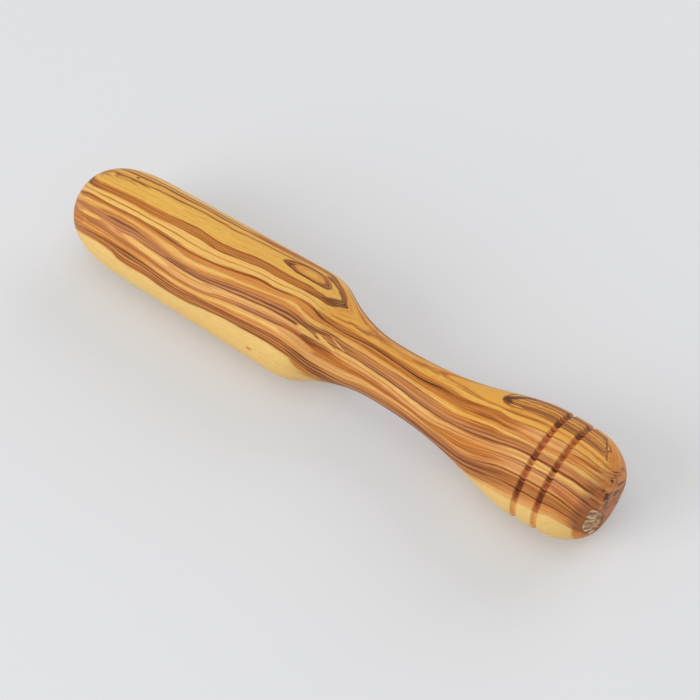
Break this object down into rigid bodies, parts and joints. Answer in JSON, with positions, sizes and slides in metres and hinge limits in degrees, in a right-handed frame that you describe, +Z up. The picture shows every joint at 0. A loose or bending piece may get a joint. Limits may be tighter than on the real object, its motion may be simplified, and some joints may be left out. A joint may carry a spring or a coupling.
{
  "type": "cocktail muddler",
  "caption": "Turned wooden muddler for crushing fruit and herbs in a glass: rounded head, slim neck and a flared grip knob with grooves cut round it.",
  "frame": {"origin": "on the surface it lies on, under the middle of the muddler", "axes": "+X along the muddler from the rounded head to the grip knob, +Y across it, +Z up, lying on its side"},
  "size_m": [0.21, 0.038, 0.038],
  "materials": {
    "olive_wood": "oiled olive wood, sanded smooth, soft satin sheen, strongly figured heartwood with a pale sapwood strip"
  },
  "bodies": {
    "root": {"muddler_body": "olive_wood"}
  },
  "joints": []
}
